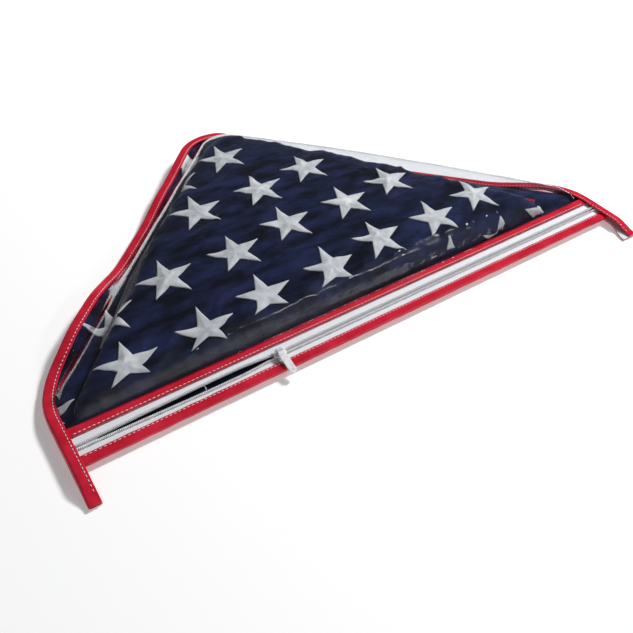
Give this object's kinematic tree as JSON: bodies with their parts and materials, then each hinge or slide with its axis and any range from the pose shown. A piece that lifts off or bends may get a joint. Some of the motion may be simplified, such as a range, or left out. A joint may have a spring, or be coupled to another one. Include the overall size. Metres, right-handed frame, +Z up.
{
  "type": "folded flag display case",
  "caption": "Soft triangular display pouch of clear vinyl with bound edges and a zip along its long side, holding a folded star-field flag.",
  "frame": {"origin": "bottom centre of the overall box, on the table under the case", "axes": "+X along the zip (long edge), +Y from the zip to the apex, +Z up"},
  "size_m": [0.6608, 0.422, 0.045],
  "materials": {
    "clear_vinyl": "glossy clear sheet",
    "red_vinyl": "semi-gloss",
    "binding_backing": "knit back of the binding",
    "white_thread": "twisted polyester thread",
    "zip_tape": "woven tape",
    "zip_coil": "nylon coil",
    "white_enamel": "gloss enamel",
    "navy_cloth": "woven nylon",
    "white_cloth": "woven nylon",
    "red_cloth": "woven nylon",
    "star_thread": "satin-stitch embroidery"
  },
  "bodies": {
    "case": {"bottom_panel": "clear_vinyl", "flag_canton_wrap": "navy_cloth", "flag_star_1_1": "star_thread", "flag_star_1_2": "star_thread", "flag_star_1_3": "star_thread", "flag_star_1_4": "star_thread", "flag_star_2_1": "star_thread", "flag_star_2_2": "star_thread", "flag_star_2_3": "star_thread", "flag_star_3_1": "star_thread", "flag_star_3_2": "star_thread", "flag_star_3_3": "star_thread", "flag_star_4_1": "star_thread", "flag_star_4_2": "star_thread", "flag_star_5_1": "star_thread", "flag_star_5_2": "star_thread", "flag_star_6_1": "star_thread", "flag_star_7_1": "star_thread", "flag_stripe_bundle": "white_cloth", "lower_front_binding": "red_vinyl", "lower_front_stitching": "white_thread", "lower_zip_coil": "zip_coil", "lower_zip_tape": "zip_tape", "side_binding": "red_vinyl", "side_stitching": "white_thread", "top_panel": "clear_vinyl", "upper_front_binding": "red_vinyl", "upper_front_stitching": "white_thread", "upper_zip_coil": "zip_coil", "upper_zip_tape": "zip_tape"},
    "slider": {"slider_body": "white_enamel"},
    "pull_tab": {"pull_tab": "white_enamel"}
  },
  "joints": [
    {"name": "slider_run", "type": "slide", "parent": "case", "child": "slider", "axis": [1, 0, 0], "range_m": [-0.183, 0.429]},
    {"name": "tab_swing", "type": "hinge", "parent": "slider", "child": "pull_tab", "pos_m": [-0.123, -0.15561, 0.0131], "axis": [-1, 0, 0], "range_deg": [0, 160]}
  ]
}
